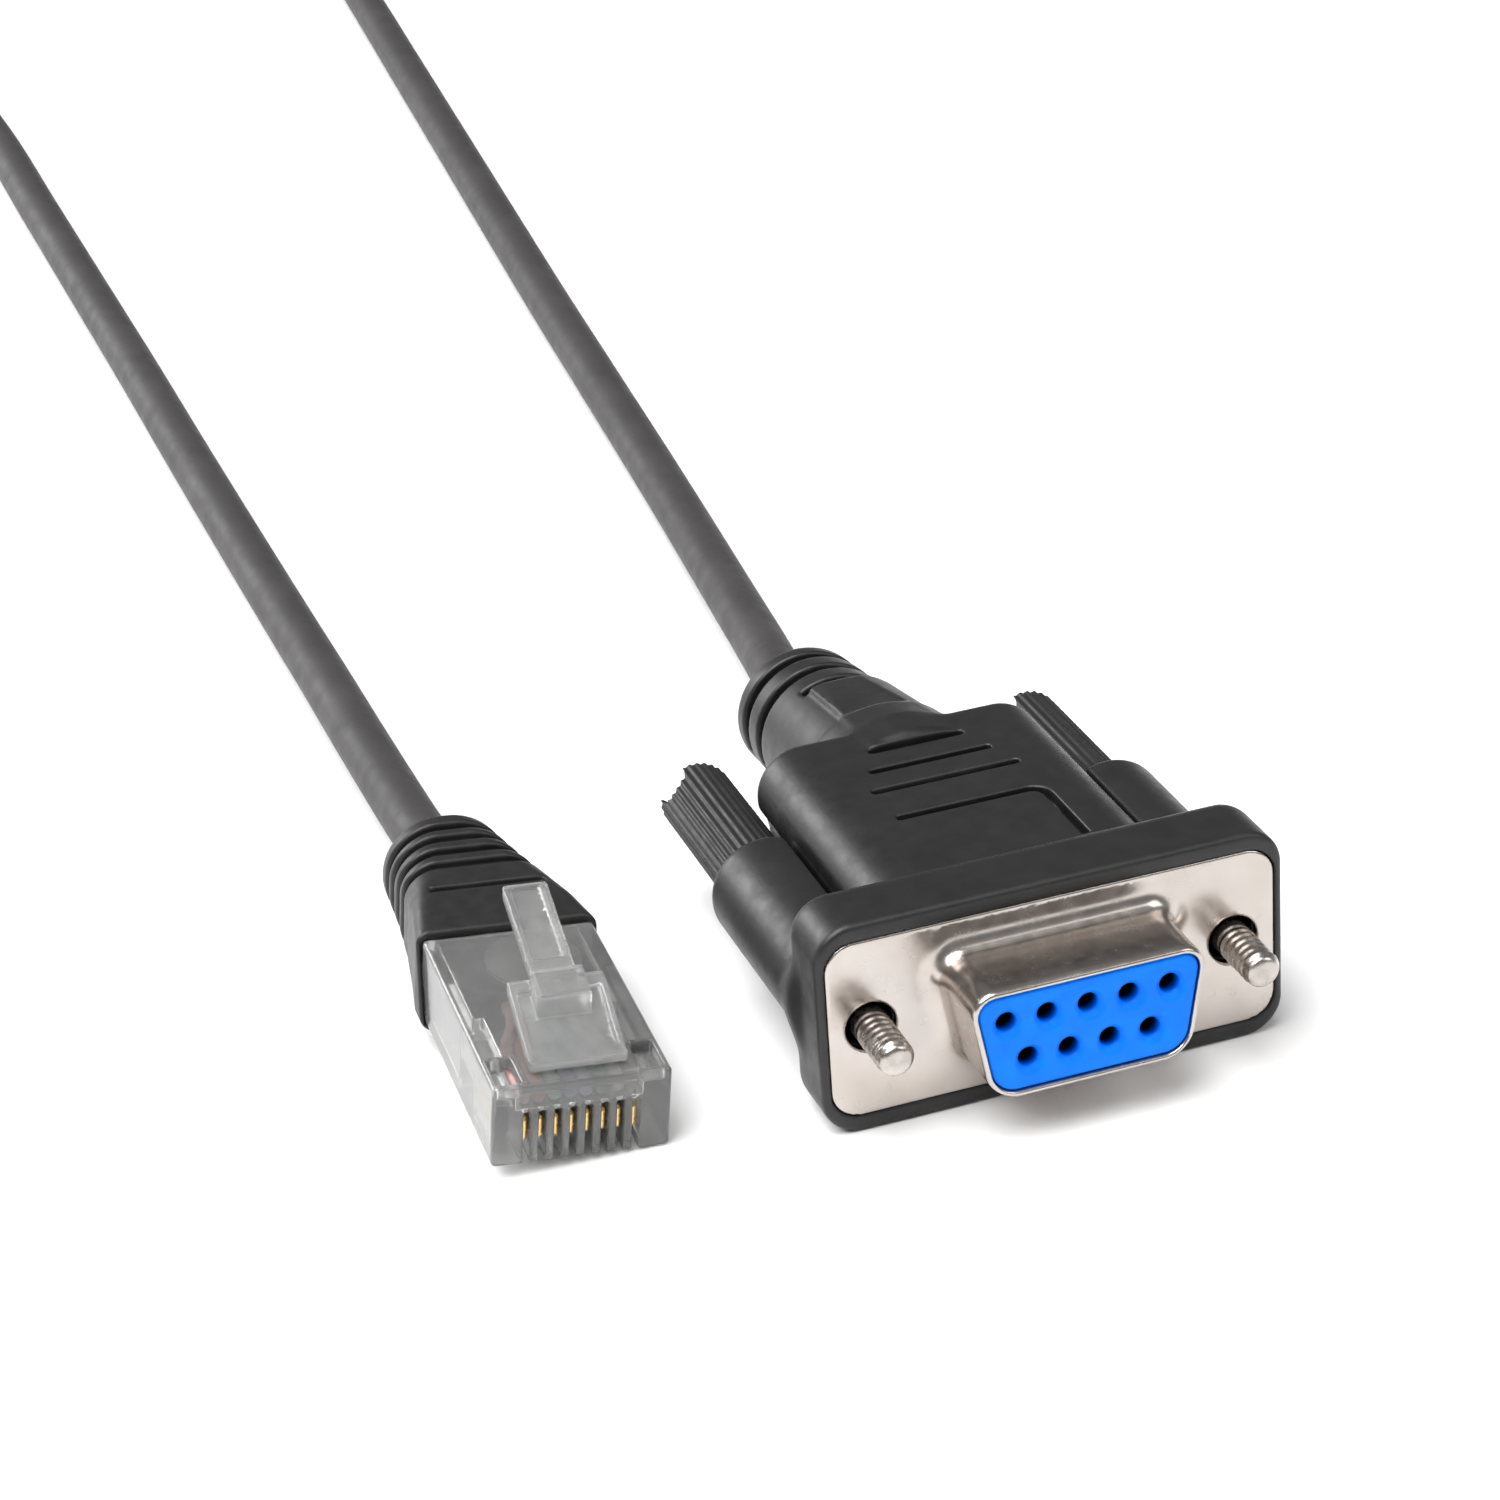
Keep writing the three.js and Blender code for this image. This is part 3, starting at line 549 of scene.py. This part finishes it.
def housing_field(x, y, z):
    body = along(rect(x, z, PLUG_HALF_W, PLUG_HALF_H, 0.35), y, 0, PLUG_LENGTH, 0.25)
    # Pockets beside the root of the latch
    pocket = np.maximum(rect(np.abs(x) - 4.65, y - 2.0, 0.8, 1.5, 0.2), PLUG_HALF_H - 1.0 - z)
    body = cut(body, pocket, 0.15)
    # Strain relief window on the underside
    window = np.maximum(rect(x, y - 11.3, 3.0, 1.6, 0.3), z + PLUG_HALF_H - 1.1)
    body = cut(body, window, 0.2)
    # The cavity for the boot's tongue, open at the back
    cavity = np.maximum(np.abs(x) - CAVITY_HALF_W, np.abs(z) - CAVITY_HALF_H)
    body = cut(body, np.maximum(cavity, CAVITY_FRONT - y))
    # The room for the wires, deeper towards the back
    sides = np.abs(x) - CHAMBER_HALF_W
    shallow = np.maximum(np.abs(z - WIRE_Z) - 0.6, np.maximum(1.0 - y, y - CHAMBER_BACK))
    deep = np.maximum(np.abs(z - 0.85) - 1.1, np.maximum(5.4 - y, y - CHAMBER_BACK))
    body = cut(cut(body, np.maximum(sides, shallow)), np.maximum(sides, deep))
    # A slot for each blade, open at the nose and the underside
    for way in WAYS:
        slot = np.maximum(np.maximum(np.abs(x - way) - 0.25, z - 0.9), y - 6.2)
        body = cut(body, slot, 0.08)
    return body


def build_housing():
    housing = surface("clear_housing", (-6, -0.3, -3.1), (6, 18.8, 3.1), 0.15, housing_field, PLUG_ROOT)
    thin(housing, 0.6)
    return housing


LATCH_FOOT = 3.02
LATCH_RISE, LATCH_TIP_RISE = 2.45, 4.8
LATCH_SHOULDER_Y, LATCH_TIP_Y = 7.2, 15.2
LATCH_HALF, LATCH_WIDE_HALF, LATCH_BLOCK_HALF = 1.5, 3.2, 1.75
LEVER_HALF_THICK, WIDE_HALF_THICK = 0.42, 0.4


def latch_field(x, y, z):
    # The lever, with a shallow dip along its top
    shoulder = LATCH_FOOT + LATCH_RISE
    slope = (LATCH_TIP_RISE - LATCH_RISE) / (LATCH_TIP_Y - LATCH_SHOULDER_Y)
    lift = z - (shoulder + slope * (y - LATCH_SHOULDER_Y))
    lever = np.maximum(np.abs(lift - LEVER_HALF_THICK) - LEVER_HALF_THICK, np.abs(x) - LATCH_HALF)
    lever = both(lever, np.maximum(6.0 - y, y - LATCH_TIP_Y), 0.6)
    dip = np.maximum(rect(x, y - 11.6, 1.02, 3.0, 0.2), 0.55 - lift)
    lever = cut(lever, dip, 0.15)
    # The wide root, which rises from the housing and carries a tray on top
    ramp = LATCH_FOOT + 0.05 + 2.4 * np.clip((y - 1.6) / 5.6, 0, 1) ** 1.15
    rise = z - ramp
    wide = np.maximum(np.abs(rise - WIDE_HALF_THICK) - WIDE_HALF_THICK, np.abs(x) - LATCH_WIDE_HALF)
    wide = both(wide, np.maximum(1.0 - y, y - LATCH_SHOULDER_Y), 0.3)
    tray = np.maximum(rect(x, y - 4.1, 2.75, 2.2, 0.2), 0.5 - rise)
    wide = cut(wide, tray, 0.12)
    # The block that holds in the jack
    block = np.maximum(np.abs(x) - LATCH_BLOCK_HALF, np.maximum(4.6 - y, y - 7.0))
    block = both(block, np.maximum(lift - 1.65, ramp - z), 0.3)
    return either(either(lever, wide, 0.15), block, 0.1)


def build_latch():
    low, high = (-3.5, 0.7, 2.8), (3.5, 15.5, 9.2)
    latch = surface("clear_latch", low, high, 0.13, latch_field, PLUG_ROOT)
    thin(latch, 0.6)
    return latch


# Each section of the boot: y, half width, half height, corner, and how far it lies aside and sags
BOOT_STATIONS = (
    (18.9, 6.2, 3.3, 0.9, 0, 0), (22.0, 5.6, 3.45, 1.1, -0.05, 0),
    (25.0, 5.1, 3.6, 1.8, -0.15, 0.1), (29.0, 4.65, 3.85, 2.9, -0.35, 0.35),
    (BOOT_BACK, 4.3, 4.15, 4.1, -0.6, 0.8))
BOOT_FRONT = 18.75
BOOT_LINE_Y = 23.9
BOOT_GROOVES = (27.05, 28.85, 30.7, 32.4)
BOOT_GAP = 0.06
TONGUE_BACK_Y, TONGUE_BOW_R = 17.9, 6.5
TONGUE_HALF_W, TONGUE_HALF_H = 4.66, 1.84


def boot_size(y, column):
    """One column of the sections, between two of them in proportion."""
    rows = np.array(BOOT_STATIONS)
    return np.interp(y, rows[:, 0], rows[:, column])


def boot_field(x, y, z):
    half, tall, corner = (boot_size(y, k) for k in (1, 2, 3))
    u = x - boot_size(y, 4)
    v = z + boot_size(y, 5)
    skin = rect(u, v, half, tall, corner)
    front = BOOT_FRONT + 0.28 * (z - PLUG_HALF_H)
    shape = both(skin, y - BOOT_BACK, 0.5)
    shape = both(shape, front - y, 0.25)
    line = np.maximum(np.abs(y - BOOT_LINE_Y) - 0.28, np.maximum(np.abs(x) - 3.95, 3.05 - z))
    shape = cut(shape, line, 0.25)
    # Each groove leaves a bridge on both sides
    for middle in BOOT_GROOVES:
        ring = np.maximum(np.abs(y - middle) - 0.4, -skin - 0.65)
        bridge = 0.3 - np.abs(v + 2.3)
        shape = cut(shape, np.maximum(ring, bridge), 0.35)
    sleeve = rect(x, z, PLUG_HALF_W + BOOT_GAP, PLUG_HALF_H + BOOT_GAP, 0.35)
    shape = cut(shape, np.maximum(sleeve, y - BOOT_FRONT))
    # The tongue that fills the housing's cavity, its front a bow
    bow = np.maximum(length2(x, y - TONGUE_BACK_Y) - TONGUE_BOW_R, y - TONGUE_BACK_Y)
    sides = np.abs(x) - TONGUE_HALF_W
    tongue = np.minimum(bow, np.maximum(sides, np.maximum(16.0 - y, y - 20)))
    tongue = both(np.maximum(tongue, sides), np.abs(z) - TONGUE_HALF_H, 0.3)
    return np.minimum(shape, tongue)


def build_boot():
    boot = surface("boot", (-6.6, 11.0, -5.2), (6.6, 34.6, 3.9), 0.17, boot_field, PLUG_ROOT)
    thin(boot, 0.6)
    return boot


def build_blades():
    blades = []
    for i, way in enumerate(WAYS):
        def field(x, y, z, way=way):
            plate = rect(y - 3.1, z + 0.75, 2.5, 0.85, 0.3)
            return both(plate, np.abs(x - way) - 0.15, 0.06)
        low, high = (way - 0.3, 0.2, -2.7), (way + 0.3, 5.8, 0.9)
        blade = surface(f"blade_{i + 1}", low, high, 0.08, field, PLUG_ROOT)
        thin(blade, 0.3)
        blades.append(blade)
    return blades


def build_wires():
    """Side by side at the blades; behind them they draw together into two rows."""
    wires = []
    drawn_in, lower_row = 0.42, 0.9
    for i, way in enumerate(WAYS):
        def field(x, y, z, way=way, i=i):
            share = np.clip((y - 5.0) / 5.0, 0, 1)
            share = share * share * (3 - 2 * share)
            drop = lower_row * share * (i % 2)
            across = length2(x - way * (1 - drawn_in * share), z - WIRE_Z + drop)
            return both(across - WIRE_R, np.maximum(1.3 - y, y - 11.1), 0.2)
        low = (min(way, way * 0.58) - 0.6, 1.1, -0.2)
        high = (max(way, way * 0.58) + 0.6, 11.4, 2.0)
        wire = surface(f"wire_{i + 1}", low, high, 0.13, field, PLUG_ROOT)
        wires.append(wire)
    return wires


def build_contacts():
    contacts = []
    for i, (cx, cz) in enumerate(sockets()):
        def field(x, y, z, cx=cx, cz=cz):
            across = length2(x - cx, z - cz)
            ends = np.maximum(CONTACT_FRONT - y, y - BLOCK_BACK)
            barrel = both(across - CONTACT_R, ends, 0.2)
            bore = np.maximum(across - CONTACT_BORE_R, y - 3.5)
            slit = np.maximum(np.abs(x - cx) - 0.07, y - CONTACT_FRONT - 3.0)
            return cut(cut(barrel, bore, 0.08), slit)
        low = (cx - 0.7, CONTACT_FRONT - 0.2, cz - 0.7)
        high = (cx + 0.7, BLOCK_BACK + 0.2, cz + 0.7)
        contact = surface(f"contact_{i + 1}", low, high, 0.1, field, ROOT)
        contacts.append(thin(contact, 0.5))
    return contacts


class Paint:
    """A material with its own grain, mottling and change of gloss, in the object's coordinates."""

    def __init__(self, name, color, rough, metal=0.0):
        self.material = bpy.data.materials.new(name)
        self.material.use_nodes = True
        self.tree = self.material.node_tree
        self.shader = self.tree.nodes["Principled BSDF"]
        self.shader.inputs["Base Color"].default_value = (*color, 1)
        self.shader.inputs["Roughness"].default_value = rough
        self.shader.inputs["Metallic"].default_value = metal
        self.coords = self.tree.nodes.new("ShaderNodeTexCoord").outputs["Object"]
        self.height = None

    def new(self, kind, **values):
        node = self.tree.nodes.new(kind)
        for key, value in values.items():
            setattr(node, key, value)
        return node

    def link(self, a, b):
        self.tree.links.new(a, b)

    def noise(self, size_mm, detail):
        node = self.new("ShaderNodeTexNoise")
        node.inputs["Scale"].default_value = 1 / (size_mm * MM)
        node.inputs["Detail"].default_value = detail
        self.link(self.coords, node.inputs["Vector"])
        return node.outputs["Fac"]

    def ramp(self, value, low, high, out_low, out_high):
        node = self.new("ShaderNodeMapRange")
        sockets_in_order = ("From Min", "From Max", "To Min", "To Max")
        for socket, number in zip(sockets_in_order, (low, high, out_low, out_high)):
            node.inputs[socket].default_value = number
        self.link(value, node.inputs["Value"])
        return node.outputs["Result"]

    def mottle(self, size_mm, dark, light):
        """Base colour between two shades."""
        mix = self.new("ShaderNodeMix", data_type="RGBA")
        mix.inputs["A"].default_value = (*dark, 1)
        mix.inputs["B"].default_value = (*light, 1)
        share = self.ramp(self.noise(size_mm, 4.0), 0.35, 0.65, 0, 1)
        self.link(share, mix.inputs["Factor"])
        self.link(mix.outputs["Result"], self.shader.inputs["Base Color"])
        return self

    def gloss(self, size_mm, low, high):
        """Roughness between two values."""
        rough = self.ramp(self.noise(size_mm, 3.0), 0.3, 0.7, low, high)
        self.link(rough, self.shader.inputs["Roughness"])
        return self

    def beyond(self, spot, near_mm, far_mm):
        """0 within near_mm of a place, 1 outside far_mm."""
        away = self.new("ShaderNodeVectorMath", operation="DISTANCE")
        away.inputs[1].default_value = spot
        self.link(self.coords, away.inputs[0])
        return self.ramp(away.outputs["Value"], near_mm * MM, far_mm * MM, 0, 1)

    def painted_hole_shade(self, from_mm, to_mm, color):
        """Painted shade: the base colour turns to that colour from one depth in y to the other, as the
        shade inside a hole.
        """
        apart = self.new("ShaderNodeSeparateXYZ")
        self.link(self.coords, apart.inputs["Vector"])
        mix = self.new("ShaderNodeMix", data_type="RGBA")
        mix.inputs["B"].default_value = (*color, 1)
        depth = self.ramp(apart.outputs["Y"], from_mm * MM, to_mm * MM, 0, 1)
        self.link(depth, mix.inputs["Factor"])
        self.link(self.shader.inputs["Base Color"].links[0].from_socket, mix.inputs["A"])
        self.link(mix.outputs["Result"], self.shader.inputs["Base Color"])
        return self

    def frosted(self, spot, radius_mm, rough):
        """A round spot is rougher than the rest."""
        mix = self.new("ShaderNodeMix", data_type="FLOAT")
        mix.inputs["A"].default_value = rough
        self.link(self.beyond(spot, radius_mm - 0.1, radius_mm), mix.inputs["Factor"])
        self.link(self.shader.inputs["Roughness"].links[0].from_socket, mix.inputs["B"])
        self.link(mix.outputs["Result"], self.shader.inputs["Roughness"])
        return self

    def grain(self, size_mm, depth_mm):
        """Bumps of that size and height, on top of those asked for before."""
        bump = self.new("ShaderNodeBump")
        bump.inputs["Strength"].default_value = 1.0
        bump.inputs["Distance"].default_value = depth_mm * MM
        self.link(self.noise(size_mm, 2.0), bump.inputs["Height"])
        if self.height is not None:
            self.link(self.height, bump.inputs["Normal"])
        self.height = bump.outputs["Normal"]
        self.link(self.height, self.shader.inputs["Normal"])
        return self


def make_materials():
    hood = Paint("hood_satin", (0.009, 0.0085, 0.0088), 0.42)
    hood.mottle(2.5, (0.0075, 0.007, 0.0073), (0.0105, 0.0099, 0.0103)).gloss(1.2, 0.38, 0.48)
    hood.grain(0.3, 0.007).grain(2.2, 0.012)
    knob = Paint("knob_satin", (0.01, 0.0092, 0.0095), 0.5)
    knob.mottle(1.5, (0.0085, 0.0078, 0.008), (0.0125, 0.0115, 0.0118))
    knob.gloss(0.8, 0.42, 0.56).grain(0.3, 0.008)
    boot = Paint("boot_satin", (0.01, 0.0094, 0.0097), 0.45)
    boot.mottle(2.0, (0.0085, 0.008, 0.0083), (0.012, 0.0112, 0.0116)).gloss(1.0, 0.4, 0.5)
    boot.grain(0.3, 0.006).grain(1.8, 0.01)
    jacket = Paint("jacket_matt", (0.034, 0.0315, 0.0323), 0.6)
    jacket.mottle(6.0, (0.03, 0.0278, 0.0285), (0.039, 0.0362, 0.037)).gloss(2.0, 0.52, 0.66)
    jacket.grain(0.5, 0.012).grain(5.0, 0.04)
    nickel = Paint("nickel", (0.62, 0.58, 0.54), 0.28, 1.0)
    nickel.mottle(3.0, (0.49, 0.445, 0.41), (0.545, 0.5, 0.465)).gloss(0.9, 0.2, 0.28)
    nickel.grain(0.2, 0.0012).grain(4.0, 0.006)
    steel = Paint("screw_steel", (0.55, 0.51, 0.47), 0.3, 1.0)
    steel.mottle(0.8, (0.42, 0.385, 0.355), (0.54, 0.5, 0.465)).gloss(0.4, 0.24, 0.36).grain(0.12, 0.003)
    blue = Paint("blue_insert", (0.0, 0.22, 1.0), 0.42)
    blue.shader.inputs["Specular IOR Level"].default_value = 0.15
    blue.mottle(1.4, (0.0, 0.18, 0.95), (0.0, 0.21, 1.0)).gloss(0.7, 0.38, 0.5).grain(0.2, 0.003)
    front = BLOCK_FRONT - MIDDLE_Y
    # Painted shade: deep in the socket holes the blue turns near black.
    blue.painted_hole_shade(front + 0.35, front + 1.3, (0.0, 0.012, 0.02))
    gold = Paint("gold_plating", (0.83, 0.57, 0.22), 0.25, 1.0)
    gold.mottle(0.5, (0.76, 0.5, 0.17), (0.88, 0.63, 0.28)).gloss(0.3, 0.16, 0.32).grain(0.1, 0.003)
    clear = Paint("clear_plastic", (0.6, 0.605, 0.6), 0.14)
    clear.shader.inputs["Transmission Weight"].default_value = 0.86
    clear.shader.inputs["IOR"].default_value = 1.5
    clear.mottle(3.0, (0.56, 0.565, 0.56), (0.66, 0.66, 0.655)).gloss(1.5, 0.1, 0.2)
    disc = PLUG_ROOT @ Vector((0.7, 14.7, PLUG_HALF_H)) * MM
    clear.frosted(disc, 3.3, 0.42).grain(1.2, 0.012)
    frost = Paint("frosted_latch", (0.72, 0.72, 0.715), 0.2)
    frost.shader.inputs["Transmission Weight"].default_value = 0.84
    frost.shader.inputs["IOR"].default_value = 1.5
    frost.mottle(2.0, (0.66, 0.665, 0.66), (0.78, 0.78, 0.775))
    frost.gloss(1.2, 0.12, 0.26).grain(0.8, 0.008)
    return {"hood": hood, "knob": knob, "boot": boot, "jacket": jacket, "nickel": nickel,
            "steel": steel, "blue": blue, "gold": gold, "clear": clear, "frost": frost}


def wire_paint(i, color):
    """A wire's colour, paled as it looks through the clear plastic."""
    color = tuple(0.55 * c + 0.16 for c in color)
    paint = Paint(f"wire_{i + 1}", color, 0.45)
    darker = tuple(c * 0.85 for c in color)
    return paint.mottle(0.8, darker, color).gloss(0.5, 0.38, 0.55).grain(0.2, 0.005).material


paints = {name: paint.material for name, paint in make_materials().items()}
cable.data.materials.clear()
cable.data.materials.append(paints["jacket"])


def place(piece, body, slot, material, *replaced):
    """The piece rides its body, has its finish, and stands for the CAD nodes named. The slot is not used.
    """
    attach(piece, body)
    if replaced:
        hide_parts(*replaced)
    piece.data.materials.clear()
    piece.data.materials.append(material)
    return piece


place(build_hood(), BODY, "hood_plastic", paints["hood"], "connector_hood")
place(build_plate(), BODY, "nickel_plate", paints["nickel"], "shell_plate")
place(build_block(), BODY, "blue_plastic", paints["blue"], "socket_block")
for side, word in ((-1, "left"), (1, "right")):
    screw, knob = build_screw(side, word)
    place(screw, f"{word}_thumbscrew", "nickel_plate", paints["steel"], f"{word}_screw")
    place(knob, f"{word}_thumbscrew", "hood_plastic", paints["knob"], f"{word}_thumb_knob")
housing = place(build_housing(), BODY, "clear_plastic", paints["clear"], "plug_housing")
latch = place(build_latch(), "latch", "clear_plastic", paints["frost"], "plug_latch")
boot = place(build_boot(), BODY, "boot_plastic", paints["boot"], "plug_boot")
blades = build_blades()
for i, blade in enumerate(blades):
    place(blade, BODY, "gold_contact", paints["gold"], f"plug_contact_{i + 1}")
WIRE_COLOURS = (
    (0.81, 0.4, 0.35), (0.7, 0.22, 0.03), (0.52, 0.75, 0.55), (0.03, 0.12, 0.46),
    (0.48, 0.63, 0.8), (0.03, 0.25, 0.1), (0.72, 0.6, 0.48), (0.2, 0.07, 0.03))
wires = build_wires()
for i, wire in enumerate(wires):
    place(wire, BODY, f"wire_{i + 1}", wire_paint(i, WIRE_COLOURS[i]), f"plug_wire_{i + 1}")
for i, contact in enumerate(build_contacts()):
    place(contact, BODY, "gold_contact", paints["gold"], f"socket_contact_{i + 1}")


# Floor and light
def make_floor():
    data = bpy.data.meshes.new("floor")
    half = 3
    corners = [(-half, -half, 0), (half, -half, 0), (half, half, 0), (-half, half, 0)]
    data.from_pydata(corners, [], [(0, 1, 2, 3)])
    floor = bpy.data.objects.new("floor", data)
    scene.collection.objects.link(floor)
    paper = Paint("floor_paper", (0.9, 0.9, 0.9), 0.9)
    paper.mottle(60, (0.895, 0.895, 0.895), (0.91, 0.91, 0.91)).grain(0.6, 0.01)
    data.materials.append(paper.material)


def area_light(name, place, aim, size, power):
    data = bpy.data.lights.new(name, "AREA")
    data.size = size
    data.energy = power
    obj = bpy.data.objects.new(name, data)
    obj.location = place
    obj.rotation_mode = "QUATERNION"
    obj.rotation_quaternion = (Vector(aim) - Vector(place)).to_track_quat("-Z", "Y")
    scene.collection.objects.link(obj)


make_floor()
world = bpy.data.worlds.new("world")
scene.world = world
world.use_nodes = True
background = world.node_tree.nodes["Background"]
background.inputs["Color"].default_value = (1, 1, 1, 1)
background.inputs["Strength"].default_value = 0.24
area_light("key", (-0.35, -0.1, 0.9), (0, 0.05, 0), 0.9, 17)
area_light("back_left", (-0.5, 0.8, 0.34), (0, 0, 0), 0.4, 4)
area_light("fill", (0.7, -0.5, 0.7), (0, 0, 0), 0.6, 3)
scene.view_settings.view_transform = "Standard"
